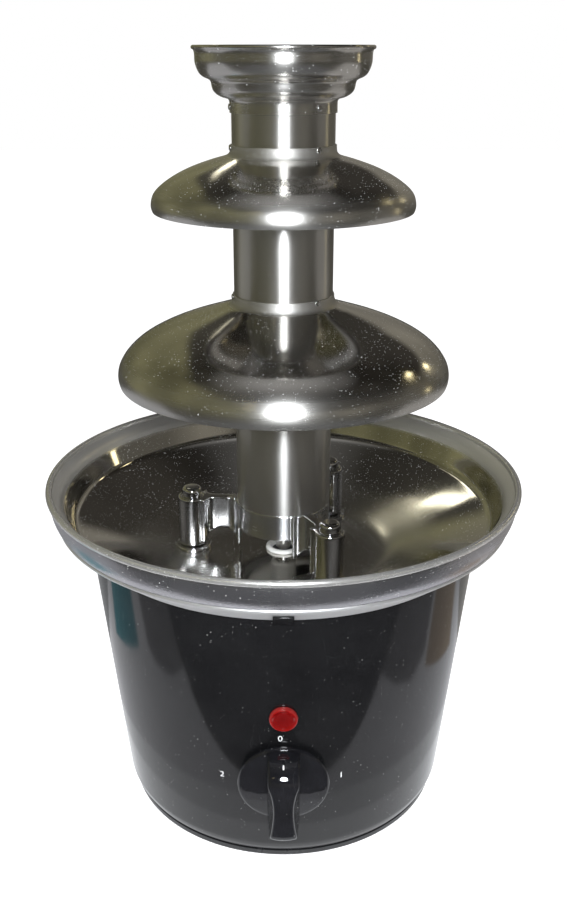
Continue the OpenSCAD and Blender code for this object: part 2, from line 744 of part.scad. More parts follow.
housing();
base_plate();
rubber_feet();
tie_rods();
tie_nuts();
trim_ring();
basin_skirt();
basin();
locating_pins();
pin_nuts();
standoffs();
plate_screws();
motor_plate();
gear_case();
case_screws();
motor_can();
can_screws();
stator_coil();
stator_claws();
rotor_axle();
idler_axle();
lower_bearing();
upper_bearing();
shaft_bushing();
shaft_seal();
bushing_nut();
heater_plate();
heating_element();
element_clamps();
clamp_screws();
thermostat();
thermal_fuse();
switch_body();
switch_nut();
lamp_lens();
lamp_clip();
lamp_holder();
neon_bulb();
cord_grommet();
terminal_block();
tower_tube();
crown_cup();
upper_tier();
lower_tier();
tower_foot();
collar_rivets();
drive_shaft();
output_gear();
auger_core();
auger_flight();
idler_gear();
rotor_magnet();
rotor_pinion();
control_knob();
switch_shaft();
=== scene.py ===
import math

import bmesh
import bpy
import numpy as np
from mathutils import Matrix, Vector


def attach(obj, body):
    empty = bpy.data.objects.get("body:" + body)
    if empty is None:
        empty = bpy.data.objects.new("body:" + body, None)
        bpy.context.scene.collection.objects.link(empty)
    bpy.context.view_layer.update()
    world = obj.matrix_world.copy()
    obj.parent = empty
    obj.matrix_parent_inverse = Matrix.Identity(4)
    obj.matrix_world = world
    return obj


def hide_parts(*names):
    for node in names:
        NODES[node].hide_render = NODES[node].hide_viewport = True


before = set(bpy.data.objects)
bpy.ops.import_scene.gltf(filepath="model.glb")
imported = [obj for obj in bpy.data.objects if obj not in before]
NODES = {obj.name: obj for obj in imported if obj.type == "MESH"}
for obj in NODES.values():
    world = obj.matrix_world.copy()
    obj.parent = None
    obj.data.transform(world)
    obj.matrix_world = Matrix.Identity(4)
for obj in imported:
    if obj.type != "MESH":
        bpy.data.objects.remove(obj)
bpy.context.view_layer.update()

MM = 0.001

# ---------------------------------------------------------------- the CAD's numbers, in mm

PIN_TURN = (28, 148, 268)
PIN_AT = [(50 * math.sin(math.radians(a)), -50 * math.cos(math.radians(a))) for a in PIN_TURN]
WALL_K = (104.7 - 90) / (158 - 14)
WALL_A = math.atan(WALL_K)
CONE_K = (164.6 - 140.2) / (112.5 - 56)
KNOB_Z, LAMP_Z = 58, 97.5
COLLAR = 25.75
CROWN_Z, UPPER_Z, LOWER_Z = 400.5, 325.0, 239.5


def wall_at(z):
    return 90 + (z - 14) * WALL_K


def cone(r):
    return 140.2 + (r - 56) * CONE_K


def wall_frame(z):
    """Frame on the sloping front wall: local x right, y up the wall, z out of it."""
    s, c = math.sin(WALL_A), math.cos(WALL_A)
    return Matrix(((1, 0, 0, 0), (0, -s, -c, -wall_at(z) * MM), (0, c, -s, z * MM), (0, 0, 0, 1)))


# ---------------------------------------------------------------- profiles and meshes


def resample(pts, step):
    p = np.array(pts, float)
    d = np.r_[0, np.cumsum(np.linalg.norm(np.diff(p, axis=0), axis=1))]
    n = max(2, int(math.ceil(d[-1] / step)))
    s = np.linspace(0, d[-1], n + 1)
    return np.c_[np.interp(s, d, p[:, 0]), np.interp(s, d, p[:, 1])], d[-1] / n


def soften(pts, sigma, step=0.25):
    """A polyline with its corners rounded and its ends kept."""
    p, h = resample(pts, step)
    k = min(len(p) - 1, int(math.ceil(3 * sigma / h)))
    w = np.exp(-0.5 * (np.arange(-k, k + 1) * h / sigma) ** 2)
    w /= w.sum()
    q = np.vstack([2 * p[0] - p[1:k + 1][::-1], p, 2 * p[-1] - p[-k - 1:-1][::-1]])
    return np.c_[np.convolve(q[:, 0], w, "valid"), np.convolve(q[:, 1], w, "valid")]


def step01(x, a, b):
    t = np.clip((np.asarray(x, float) - a) / (b - a), 0, 1)
    return t * t * (3 - 2 * t)


def offset(p, t):
    """The path moved t to its left."""
    d = np.gradient(p, axis=0)
    d /= np.linalg.norm(d, axis=1)[:, None]
    return p + t * np.c_[-d[:, 1], d[:, 0]]


def thin(p, tol=0.004, longest=3.0):
    """Fewer points along the straight runs of a path."""
    keep, i = [0], 0
    while i < len(p) - 1:
        j = i + 1
        while j + 1 < len(p):
            a, b = p[i], p[j + 1]
            ab = b - a
            n = np.linalg.norm(ab)
            if n > longest or n < 1e-9:
                break
            m = p[i + 1:j + 1] - a
            if np.abs(m[:, 0] * ab[1] - m[:, 1] * ab[0]).max() / n > tol:
                break
            j += 1
        keep.append(j)
        i = j
    return p[keep]


def arc(cx, cz, r, a0, a1, n=28):
    return [(cx + r * math.cos(math.radians(a)), cz + r * math.sin(math.radians(a))) for a in np.linspace(a0, a1, n)]


def finish_mesh(name, me, mat, body, sharp=32, stands_for=()):
    bm = bmesh.new()
    bm.from_mesh(me)
    bmesh.ops.recalc_face_normals(bm, faces=bm.faces)
    bm.to_mesh(me)
    bm.free()
    me.shade_smooth()
    me.set_sharp_from_angle(angle=math.radians(sharp))
    o = bpy.data.objects.new(name, me)
    bpy.context.scene.collection.objects.link(o)
    if mat is not None:
        o.data.materials.append(mat)
    if body is not None:
        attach(o, body)
        if stands_for:
            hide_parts(*stands_for)
    return o


def turn(loops, seg=192, places=None):
    """Mesh of closed (r, z) loops turned about the local Z axis, at each placement."""
    verts, faces = [], []
    ang = np.linspace(0, 2 * math.pi, seg, endpoint=False)
    cs, sn = np.cos(ang), np.sin(ang)
    for m in places or [Matrix.Identity(4)]:
        m = np.array(m, float)
        for loop in loops:
            rings = []
            for r, z in loop:
                i0 = len(verts)
                if r < 1e-6:
                    p = np.array([[0, 0, z * MM]])
                else:
                    p = np.c_[r * MM * cs, r * MM * sn, np.full(seg, z * MM)]
                verts.extend((p @ m[:3, :3].T + m[:3, 3]).tolist())
                rings.append((i0, len(p)))
            n = len(loop)
            for i in range(n):
                (a, na), (b, nb) = rings[i], rings[(i + 1) % n]
                if na == 1 and nb == 1:
                    continue
                for k in range(seg):
                    l = (k + 1) % seg
                    if na == 1:
                        faces.append((a, b + l, b + k))
                    elif nb == 1:
                        faces.append((a + k, a + l, b))
                    else:
                        faces.append((a + k, a + l, b + l, b + k))
    me = bpy.data.meshes.new("turned")
    me.from_pydata(verts, [], faces)
    return me


def prism(poly, x0, x1, bevel):
    """A (y, z) outline in mm drawn out along X, with its edges rounded."""
    bm = bmesh.new()
    a = [bm.verts.new((x0 * MM, y * MM, z * MM)) for y, z in poly]
    b = [bm.verts.new((x1 * MM, y * MM, z * MM)) for y, z in poly]
    bm.faces.new(a)
    bm.faces.new(b[::-1])
    n = len(poly)
    for i in range(n):
        bm.faces.new((a[i], b[i], b[(i + 1) % n], a[(i + 1) % n]))
    bmesh.ops.recalc_face_normals(bm, faces=bm.faces)
    if bevel:
        bmesh.ops.bevel(bm, geom=bm.edges[:], offset=bevel * MM, segments=3, profile=0.5, affect="EDGES")
    me = bpy.data.meshes.new("prism")
    bm.to_mesh(me)
    bm.free()
    return me


def scratch(me):
    o = bpy.data.objects.new("scratch", me)
    bpy.context.scene.collection.objects.link(o)
    return o


def carve(me, steps):
    """Boolean steps [(operation, mesh)] on a mesh, as a new mesh."""
    bm = bmesh.new()
    bm.from_mesh(me)
    bmesh.ops.recalc_face_normals(bm, faces=bm.faces)
    bm.to_mesh(me)
    bm.free()
    o = scratch(me)
    tools = []
    for op, tool in steps:
        b = bmesh.new()
        b.from_mesh(tool)
        bmesh.ops.recalc_face_normals(b, faces=b.faces)
        b.to_mesh(tool)
        b.free()
        t = scratch(tool)
        mod = o.modifiers.new("cut", "BOOLEAN")
        mod.operation, mod.solver, mod.object = op, "EXACT", t
        tools.append(t)
    bpy.context.view_layer.update()
    made = bpy.data.meshes.new_from_object(o.evaluated_get(bpy.context.evaluated_depsgraph_get()))
    for t in [o, *tools]:
        bpy.data.objects.remove(t)
    return made


# ---------------------------------------------------------------- materials


class Mat:
    """A Principled material and short ways to feed it."""

    def __init__(self, name):
        self.m = bpy.data.materials.new(name)
        self.m.use_nodes = True
        self.t = self.m.node_tree
        self.b = self.t.nodes["Principled BSDF"]
        self.pos = self.node("ShaderNodeTexCoord").outputs["Object"]

    def node(self, kind, **props):
        n = self.t.nodes.new(kind)
        for k, v in props.items():
            setattr(n, k, v)
        return n

    def put(self, socket, v):
        if isinstance(v, bpy.types.NodeSocket):
            self.t.links.new(v, socket)
        else:
            socket.default_value = v

    def set(self, **values):
        for k, v in values.items():
            self.put(self.b.inputs[k.replace("_", " ")], v)
        return self

    def math(self, op, a, b=0.0):
        n = self.node("ShaderNodeMath", operation=op)
        self.put(n.inputs[0], a)
        self.put(n.inputs[1], b)
        return n.outputs[0]

    def vec(self, op, a, b):
        n = self.node("ShaderNodeVectorMath", operation=op)
        self.put(n.inputs[0], a)
        self.put(n.inputs[1], b)
        return n.outputs[1] if op == "LENGTH" else n.outputs[0]

    def noise(self, vec, scale, detail=3.0, rough=0.5):
        n = self.node("ShaderNodeTexNoise")
        self.put(n.inputs["Vector"], vec)
        n.inputs["Scale"].default_value = scale
        n.inputs["Detail"].default_value = detail
        n.inputs["Roughness"].default_value = rough
        return n.outputs["Fac"]

    def span(self, v, a, b, c, d):
        n = self.node("ShaderNodeMapRange")
        for s, x in zip(n.inputs, (v, a, b, c, d)):
            self.put(s, x)
        return n.outputs[0]

    def ramp(self, v, *stops):
        n = self.node("ShaderNodeValToRGB")
        e = n.color_ramp.elements
        while len(e) < len(stops):
            e.new(0.5)
        for x, (at, c) in zip(e, stops):
            x.position, x.color = at, (*c, 1)
        self.put(n.inputs[0], v)
        return n.outputs[0]

    def mix(self, f, a, b):
        n = self.node("ShaderNodeMix", data_type="RGBA")
        self.put(n.inputs[0], f)
        self.put(n.inputs[6], a if isinstance(a, bpy.types.NodeSocket) else (*a, 1))
        self.put(n.inputs[7], b if isinstance(b, bpy.types.NodeSocket) else (*b, 1))
        return n.outputs[2]

    def turned(self, wobble=0.0006):
        """Coordinates that run across the lathe lines of a part turned about Z."""
        s = self.node("ShaderNodeSeparateXYZ")
        self.put(s.inputs[0], self.pos)
        r = self.vec("LENGTH", self.vec("MULTIPLY", self.pos, (1, 1, 0)), (0, 0, 0))
        c = self.node("ShaderNodeCombineXYZ")
        self.put(c.inputs[0], r)
        self.put(c.inputs[1], self.math("MULTIPLY", self.noise(self.pos, 14, 1), wobble))
        self.put(c.inputs[2], s.outputs[2])
        return c.outputs[0]

    def specks(self, scale, size):
        """1 on small scattered grains, 0 elsewhere."""
        v = self.node("ShaderNodeTexVoronoi")
        self.put(v.inputs["Vector"], self.pos)
        v.inputs["Scale"].default_value = scale
        c = self.node("ShaderNodeSeparateColor")
        self.put(c.inputs[0], v.outputs["Color"])
        limit = self.math("MULTIPLY", self.math("POWER", c.outputs[0], 1.9), self.span(self.noise(self.pos, 55, 2), 0.42, 0.62, size * 0.65, size))
        return self.math("LESS_THAN", v.outputs["Distance"], limit)

    def scratches(self, stretch, scale, width):
        """Thin broken hairlines."""
        warped = self.vec("ADD", self.vec("MULTIPLY", self.pos, stretch),
                          self.vec("MULTIPLY", self.noise_colour(self.pos, 22), (0.02, 0.02, 0.02)))
        v = self.node("ShaderNodeTexVoronoi", feature="DISTANCE_TO_EDGE")
        self.put(v.inputs["Vector"], warped)
        v.inputs["Scale"].default_value = scale
        line = self.math("LESS_THAN", v.outputs["Distance"], width)
        return self.math("MULTIPLY", line, self.span(self.noise(self.pos, 45, 2), 0.55, 0.66, 0, 1))

    def noise_colour(self, vec, scale):
        n = self.node("ShaderNodeTexNoise")
        self.put(n.inputs["Vector"], vec)
        n.inputs["Scale"].default_value = scale
        return n.outputs["Color"]

    def bump(self, height, strength, distance, under=None):
        n = self.node("ShaderNodeBump")
        n.inputs["Strength"].default_value = strength
        n.inputs["Distance"].default_value = distance
        self.put(n.inputs["Height"], height)
        if under is not None:
            self.put(n.inputs["Normal"], under)
        return n.outputs[0]


def steel(name, lo, hi, rough, aniso=0.0, line=0.06, bump=0.05, dust=0.06, dust_scale=230, grain=1500, wave=0.0, satin=(), drops=0.0, matt=0.0):
    """Turned and polished sheet: lathe lines, wiped smears, settled dust."""
    k = Mat(name)
    smear = k.noise(k.vec("MULTIPLY", k.pos, (1, 1, 0.6)), 26, 4, 0.55)
    lines = k.noise(k.turned(), grain, 3, 0.6)
    colour = k.ramp(k.noise(k.pos, 11, 3), (0.3, lo), (0.7, hi))
    r = k.span(smear, 0.32, 0.72, rough[0], rough[1])
    r = k.math("ADD", r, k.math("MULTIPLY", k.math("SUBTRACT", lines, 0.5), line))
    haze = matt
    for r0, r1, more, dull in satin:
        away = k.vec("LENGTH", k.vec("MULTIPLY", k.pos, (1, 1, 0)), (0, 0, 0))
        r = k.math("ADD", r, k.span(away, r0, r1, 0, more))
        if dull:
            haze = k.math("MAXIMUM", haze, k.span(away, r0, r1, 0, dull))
    grit = k.math("MAXIMUM", k.specks(dust_scale, dust), k.specks(dust_scale * 0.45, dust * 0.6))
    film = k.math("MULTIPLY", k.span(k.noise(k.pos, 60, 5, 0.7), 0.5, 0.85, 0, 1), 0.05)
    k.set(Base_Color=k.mix(k.math("MAXIMUM", k.math("MAXIMUM", grit, film), haze), colour, (0.7, 0.69, 0.68)),
          Metallic=k.math("SUBTRACT", 1.0, k.math("MAXIMUM", grit, haze)),
          Roughness=k.math("MAXIMUM", r, k.math("MULTIPLY", grit, 0.8)))
    n = k.bump(lines, bump, 0.00008)
    if wave:
        n = k.bump(k.noise(k.pos, 38, 2), wave, 0.0006, n)
    if drops:
        v = k.node("ShaderNodeTexVoronoi")
        k.put(v.inputs["Vector"], k.pos)
        v.inputs["Scale"].default_value = 900
        n = k.bump(k.span(v.outputs["Distance"], 0.0, 0.45, 1, 0), drops, 0.0002, n)
    k.put(k.b.inputs["Normal"], n)
    if aniso:
        t = k.node("ShaderNodeTangent", direction_type="RADIAL", axis="Z")
        k.put(k.b.inputs["Tangent"], t.outputs[0])
        k.b.inputs["Anisotropic"].default_value = aniso
        k.b.inputs["Anisotropic Rotation"].default_value = 0.25
    return k.m


def metal(name, lo, hi, rough, scale=60, bump=0.06, spots=None):
    """Plain metal for fasteners and castings: mottled tone and roughness, fine surface bump."""
    k = Mat(name)
    tone = k.noise(k.pos, scale, 4, 0.6)
    colour = k.ramp(tone, (0.3, lo), (0.7, hi))
    if spots:
        colour = k.mix(k.span(k.noise(k.pos, scale * 2.2, 3), 0.58, 0.72, 0, 0.6), colour, spots)
    k.set(Base_Color=colour, Roughness=k.span(k.noise(k.pos, scale * 3, 3), 0.3, 0.7, *rough),
          Normal=k.bump(k.noise(k.pos, scale * 14, 3), bump, 0.0002))
    k.b.inputs["Metallic"].default_value = 1.0
    return k.m


def plastic(name, lo, hi, rough, grain=900, bump=0.05, dust=0.0, dust_scale=210, scuff=0.0, coat=0.0, scale=35, ior=1.5, peel=0.0):
    """Moulded plastic or rubber: tone drift, smeared gloss, fine skin, dust and hairline scuffs."""
    k = Mat(name)
    colour = k.ramp(k.noise(k.pos, scale, 4, 0.6), (0.3, lo), (0.72, hi))
    r = k.span(k.noise(k.vec("MULTIPLY", k.pos, (1, 1, 0.5)), scale * 0.8, 5, 0.6), 0.3, 0.72, rough[0], rough[1])
    n = k.bump(k.noise(k.pos, grain, 2), bump, 0.0002)
    if peel:
        n = k.bump(k.noise(k.pos, 70, 2), peel, 0.0008, n)
    if scuff:
        mark = k.scratches((1.0, 1.0, 0.35), 130, 0.004)
        r = k.math("ADD", r, k.math("MULTIPLY", mark, 0.12))
        colour = k.mix(k.math("MULTIPLY", mark, scuff), colour, (0.2, 0.2, 0.21))
    if dust:
        grit = k.specks(dust_scale, dust)
        colour = k.mix(grit, colour, (0.42, 0.41, 0.4))
        r = k.math("MAXIMUM", r, k.math("MULTIPLY", grit, 0.8))
    k.set(Base_Color=colour, Roughness=r, Normal=n)
    k.b.inputs["IOR"].default_value = ior
    if coat:
        k.b.inputs["Coat Weight"].default_value = coat
        k.b.inputs["Coat Roughness"].default_value = 0.05
    return k.m


M = {}
SHEET = ((0.56, 0.545, 0.52), (0.64, 0.63, 0.61))
COLLAR_SATIN = (0.029, 0.0265, 0.46, 0.0)
M["upper_steel"] = steel("upper_steel", *SHEET, (0.1, 0.16), aniso=0.7, dust=0.24, dust_scale=1100, satin=(COLLAR_SATIN, (0.0575, 0.0625, 0.17, 0.0)))
M["lower_steel"] = steel("lower_steel", *SHEET, (0.08, 0.13), aniso=0.7, dust=0.24, dust_scale=1100, satin=(COLLAR_SATIN, (0.076, 0.0825, 0.18, 0.0)))
M["cup_steel"] = steel("cup_steel", (0.58, 0.565, 0.545), (0.66, 0.65, 0.63), (0.2, 0.28), aniso=0.78, line=0.05, dust=0.2, dust_scale=700)
M["basin_steel"] = steel("basin_steel", (0.56, 0.545, 0.52), (0.64, 0.63, 0.61), (0.07, 0.11), aniso=0.5, dust=0.23, dust_scale=1000, satin=((0.088, 0.074, 0.14, 0.0), (0.05, 0.04, -0.12, 0.0), (0.1163, 0.1172, 0.28, 0.2), (0.1222, 0.1229, -0.1, 0.0)))
# painted shade: the skirt's steel is a darker, purple-grey copy of the sheet steel
M["skirt_steel_painted_shade"] = steel("skirt_steel_painted_shade", (0.4, 0.395, 0.42), (0.5, 0.495, 0.52), (0.22, 0.32), aniso=0.3, line=0.06, dust=0.2, dust_scale=800, drops=0.3)
M["trim_steel"] = steel("trim_steel", (0.66, 0.655, 0.66), (0.74, 0.735, 0.74), (0.42, 0.5), aniso=0.5, line=0.08, dust=0.12, dust_scale=700, matt=0.14)
M["brushed_steel"] = steel("brushed_steel", (0.57, 0.555, 0.53), (0.65, 0.64, 0.62), (0.29, 0.35), aniso=0.92, line=0.04, bump=0.02, dust=0.12, dust_scale=700, grain=2600)
M["shaft_steel"] = steel("shaft_steel", (0.5, 0.49, 0.48), (0.6, 0.59, 0.58), (0.2, 0.3), line=0.08, dust=0.0)
M["chrome_plate"] = steel("chrome_plate", (0.62, 0.625, 0.64), (0.7, 0.7, 0.71), (0.04, 0.1), line=0.02, bump=0.01, dust=0.045, dust_scale=300, wave=0.05)
M["foot_chrome"] = steel("foot_chrome", (0.62, 0.625, 0.64), (0.7, 0.7, 0.71), (0.04, 0.1), aniso=1.0, line=0.02, bump=0.01, dust=0.045, dust_scale=300, wave=0.03, satin=((0.0315, 0.0285, 0.2, 0.0),))
M["housing_black"] = plastic("housing_black", (0.004, 0.004, 0.0045), (0.008, 0.008, 0.0085), (0.07, 0.14), grain=1400, bump=0.012, dust=0.13, dust_scale=560, scuff=0.06, peel=0.012)
M["knob_black"] = plastic("knob_black", (0.006, 0.006, 0.007), (0.011, 0.011, 0.013), (0.04, 0.09), grain=1600, bump=0.02, dust=0.14, dust_scale=560, scuff=0.15, scale=80)
M["plate_black"] = plastic("plate_black", (0.014, 0.014, 0.015), (0.026, 0.026, 0.027), (0.24, 0.36), grain=2200, bump=0.25, dust=0.05)
M["rubber_black"] = plastic("rubber_black", (0.016, 0.016, 0.016), (0.034, 0.033, 0.032), (0.65, 0.85), grain=1800, bump=0.3, dust=0.05, scale=120)
M["white_nylon"] = plastic("white_nylon", (0.74, 0.73, 0.69), (0.82, 0.81, 0.78), (0.32, 0.46), grain=900, bump=0.06, scale=60)
M["auger_white"] = plastic("auger_white", (0.76, 0.75, 0.71), (0.83, 0.82, 0.79), (0.3, 0.44), grain=700, bump=0.06, scale=40)
M["ceramic_cream"] = plastic("ceramic_cream", (0.66, 0.6, 0.46), (0.76, 0.71, 0.58), (0.35, 0.5), bump=0.1, scale=90)
M["phenolic_brown"] = plastic("phenolic_brown", (0.018, 0.012, 0.009), (0.04, 0.026, 0.02), (0.35, 0.5), bump=0.12, scale=150)
M["white_print"] = plastic("white_print", (0.7, 0.7, 0.7), (0.86, 0.86, 0.86), (0.45, 0.6), grain=2500, bump=0.08, scale=700)
M["zinc_steel"] = metal("zinc_steel", (0.5, 0.5, 0.49), (0.62, 0.62, 0.63), (0.3, 0.48), scale=90, spots=(0.46, 0.45, 0.4))
M["cast_alloy"] = metal("cast_alloy", (0.42, 0.42, 0.43), (0.55, 0.55, 0.56), (0.42, 0.6), scale=70, bump=0.25)
M["aluminium_plate"] = metal("aluminium_plate", (0.68, 0.68, 0.69), (0.77, 0.77, 0.78), (0.32, 0.45), scale=80, bump=0.12)
M["bronze"] = metal("bronze", (0.42, 0.28, 0.12), (0.56, 0.39, 0.18), (0.4, 0.55), scale=160, bump=0.3, spots=(0.28, 0.18, 0.09))
M["heater_sheath"] = metal("heater_sheath", (0.2, 0.19, 0.18), (0.36, 0.33, 0.3), (0.4, 0.6), scale=60, bump=0.2, spots=(0.24, 0.15, 0.1))
M["ferrite"] = metal("ferrite", (0.06, 0.058, 0.058), (0.11, 0.105, 0.1), (0.5, 0.7), scale=200, bump=0.3)


def winding():
    """Enamelled copper wire, layer on layer round the bobbin."""
    k = Mat("copper_winding")
    s = k.node("ShaderNodeSeparateXYZ")
    k.put(s.inputs[0], k.pos)
    turns = k.math("SINE", k.math("MULTIPLY", s.outputs[2], 12000.0))
    # painted shade and highlight: the copper is painted darker in the grooves between turns and lighter on their
    # crests, on top of the bump
    k.set(Base_Color=k.mix(k.span(turns, -1, 1, 0, 1), (0.2, 0.065, 0.022), (0.5, 0.2, 0.075)),
          Roughness=k.span(k.noise(k.pos, 300), 0.3, 0.7, 0.25, 0.4), Normal=k.bump(turns, 0.5, 0.0002))
    k.b.inputs["Metallic"].default_value = 0.85
    return k.m


def lens():
    """Red moulded lamp lens: deeper red in the dish, a lighter pink at the rim that is a painted highlight, fine prisms
    inside.
    """
    k = Mat("lens_red")
    local = k.node("ShaderNodeMapping", vector_type="TEXTURE")
    local.inputs["Location"].default_value = (0, -wall_at(LAMP_Z) * MM, LAMP_Z * MM)
    local.inputs["Rotation"].default_value = (math.pi / 2 + WALL_A, 0, 0)
    k.put(local.inputs[0], k.pos)
    r = k.vec("LENGTH", k.vec("MULTIPLY", local.outputs[0], (1, 1, 0)), (0, 0, 0))
    mott = k.noise(k.pos, 420, 3, 0.6)
    # painted highlight: the colour ramps from deep red in the dish to a lighter pink at the rim
    colour = k.ramp(k.math("ADD", k.math("MULTIPLY", r, 110.0), k.math("MULTIPLY", mott, 0.25)),
                    (0.12, (0.1, 0.001, 0.001)), (0.6, (0.13, 0.0015, 0.0015)), (0.8, (0.17, 0.003, 0.003)), (0.92, (0.28, 0.025, 0.022)))
    k.set(Base_Color=colour, Roughness=k.span(mott, 0.3, 0.7, 0.07, 0.16), Normal=k.bump(mott, 0.05, 0.0003))
    k.b.inputs["IOR"].default_value = 1.49
    k.b.inputs["Specular IOR Level"].default_value = 0.3
    k.b.inputs["Coat Weight"].default_value = 0.2
    k.b.inputs["Coat Roughness"].default_value = 0.03
    k.b.inputs["Subsurface Weight"].default_value = 0.04
    k.b.inputs["Subsurface Radius"].default_value = (0.004, 0.0006, 0.0005)
    return k.m


def bulb():
    k = Mat("bulb_glass")
    haze = k.noise(k.pos, 260, 3)
    k.set(Base_Color=k.ramp(haze, (0.3, (0.82, 0.5, 0.36)), (0.7, (0.9, 0.66, 0.52))), Roughness=k.span(haze, 0.3, 0.7, 0.05, 0.16))
    k.b.inputs["Coat Weight"].default_value = 0.5
    return k.m


M["copper_winding"] = winding()
M["lens_red"] = lens()
M["bulb_glass"] = bulb()

# every CAD node that is carried over
FINISH = {
    "housing": "housing_black", "base_plate": "plate_black", "rubber_feet": "rubber_black", "tie_rods": "zinc_steel",
    "tie_nuts": "zinc_steel", "trim_ring": "trim_steel", "basin_skirt": "skirt_steel_painted_shade", "basin": "basin_steel", "locating_pins": "chrome_plate",
    "pin_nuts": "zinc_steel", "standoffs": "zinc_steel", "plate_screws": "zinc_steel", "motor_plate": "zinc_steel",
    "gear_case": "cast_alloy", "case_screws": "zinc_steel", "motor_can": "zinc_steel", "can_screws": "zinc_steel",
    "stator_coil": "copper_winding", "stator_claws": "zinc_steel", "rotor_axle": "shaft_steel", "idler_axle": "shaft_steel",
    "lower_bearing": "bronze", "upper_bearing": "bronze", "shaft_bushing": "white_nylon", "shaft_seal": "rubber_black",
    "bushing_nut": "zinc_steel", "heater_plate": "aluminium_plate", "heating_element": "heater_sheath",
    "element_clamps": "zinc_steel", "clamp_screws": "zinc_steel", "thermostat": "phenolic_brown",
    "thermal_fuse": "ceramic_cream", "switch_body": "phenolic_brown", "switch_nut": "zinc_steel", "lamp_lens": "lens_red",
    "lamp_clip": "zinc_steel", "lamp_holder": "ceramic_cream", "neon_bulb": "bulb_glass", "cord_grommet": "rubber_black",
    "terminal_block": "white_nylon", "tower_tube": "brushed_steel", "crown_cup": "cup_steel", "upper_tier": "upper_steel",
    "lower_tier": "lower_steel", "tower_foot": "chrome_plate", "collar_rivets": "chrome_plate",
    "drive_shaft": "shaft_steel", "output_gear": "white_nylon", "auger_core": "auger_white", "auger_flight": "auger_white",
    "idler_gear": "white_nylon", "rotor_magnet": "ferrite", "rotor_pinion": "white_nylon", "control_knob": "knob_black",
    "switch_shaft": "zinc_steel",
}
for name, o in NODES.items():
    for s in o.material_slots:
        s.material = M[FINISH[name]]

# ---------------------------------------------------------------- tower


def tier(name, pts, z0, node, mat):
    """A spun dome: smooth crown, rounded lip, tight fillet into its collar, sheet 0.7 thick."""
    big, mid, small = soften(pts, 3.2), soften(pts, 1.3), soften(pts, 0.55)
    w_in = step01(-big[:, 0], -37, -30)[:, None]
    s = np.r_[0, np.cumsum(np.linalg.norm(np.diff(small, axis=0), axis=1))]
    w_lip = (1 - step01(s, 7, 17))[:, None]
    out = big * (1 - w_in) + small * w_in
    out = out * (1 - w_lip) + mid * w_lip
    inner = offset(out, 0.7)
    # the lip is turned in and rounded, the collar's edge is rounded
    loop = soften(np.vstack([out, inner[::-1]]), 0.12, 0.2)
    loop = thin(np.vstack([loop, loop[:1] + (loop[-1:] - loop[:1]) * 0.5]))
    loop[:, 1] += z0
    return finish_mesh(name, turn([loop], 256), M[mat], "tower", 40, (node,))


tier("upper_tier_dome", [
    (64.2, 0), (65.0, 1.5), (64.9, 3.6), (64.5, 6.0), (63.6, 8.2), (61.4, 10.8), (58.0, 13.4), (53.1, 16.5), (45.8, 20.0),
    (36.0, 23.4), (30.0, 25.0), (27.6, 25.8), (26.3, 26.9), (COLLAR, 28.4), (COLLAR, 30.8)], UPPER_Z, "upper_tier", "upper_steel")
tier("lower_tier_dome", [
    (84.5, 0), (85.2, 2.0), (85.2, 4.0), (84.9, 6.4), (84.1, 8.8), (81.4, 13.4), (75.9, 18.6), (70.2, 22.2), (62.1, 26.2),
    (53.3, 29.7), (40.2, 34.0), (32.5, 36.5), (28.0, 38.4), (26.4, 39.9), (COLLAR, 42.0), (COLLAR, 43.8)], LOWER_Z, "lower_tier", "lower_steel")

cup = soften([
    (COLLAR, -30.0), (COLLAR, -24.4), (26.6, -23.7), (29.3, -23.1), (31.9, -21.7), (33.5, -20.0), (34.1, -17.6), (34.3, -15.9),
    (35.3, -15.0), (37.6, -14.2), (39.5, -12.8), (40.5, -11.1), (41.2, -9.3), (41.7, -7.5), (41.8, -3.1), (42.3, -2.0)], 0.6)
loop = soften(np.vstack([cup, arc(42.3, -1.0, 1.0, -90, 224), offset(cup, 0.7)[::-1]]), 0.12, 0.15)
loop[:, 1] += CROWN_Z
finish_mesh("crown_bowl", turn([thin(loop)], 224), M["cup_steel"], "tower", 40, ("crown_cup",))

finish_mesh("tower_pipe", turn([[
    (24.2, 170.25), (24.35, 170.1), (24.85, 170.1), (25, 170.25), (25, 205), (25, 240), (25, 275), (25, 310), (25, 345),
    (25, 376.55), (24.85, 376.7), (24.35, 376.7), (24.2, 376.55), (24.2, 310), (24.2, 240)]], 192),
    M["brushed_steel"], "tower", 35, ("tower_tube",))

rivet_path = soften([(0, 26.6), (0.9, 26.5), (1.35, 26.3), (1.5, 26.0), (0.83, 25.95), (0.83, 24.0), (0, 24.0)], 0.07, 0.05)
rivet_path[[0, -1], 0] = 0
rivets = []
for z in (CROWN_Z - 27.3, UPPER_Z + 29.6, LOWER_Z + 42.9):
    for a in (40, 160, 280):
        rivets.append(Matrix.Translation((0, 0, z * MM)) @ Matrix.Rotation(math.radians(a - 90), 4, "Z") @ Matrix.Rotation(math.pi / 2, 4, "Y"))
finish_mesh("rivet_heads", turn([thin(rivet_path, 0.004, 1)], 24, rivets), M["chrome_plate"], "tower", 40, ("collar_rivets",))


def cast_foot():
    """The plated casting under the tube: the CAD shape with its edges worn round."""
    me = NODES["tower_foot"].data.copy()
    bm = bmesh.new()
    bm.from_mesh(me)
    bmesh.ops.remove_doubles(bm, verts=bm.verts, dist=2e-6)
    bm.to_mesh(me)
    bm.free()
    o = scratch(me)
    r = o.modifiers.new("skin", "REMESH")
    r.mode, r.voxel_size = "VOXEL", 0.00042
    s = o.modifiers.new("wear", "SMOOTH")
    s.factor, s.iterations = 0.5, 7
    bpy.context.view_layer.update()
    made = bpy.data.meshes.new_from_object(o.evaluated_get(bpy.context.evaluated_depsgraph_get()))
    bpy.data.objects.remove(o)
    made.materials.clear()
    return made


finish_mesh("foot_casting", cast_foot(), M["foot_chrome"], "tower", 70, ("tower_foot",))

# ---------------------------------------------------------------- auger


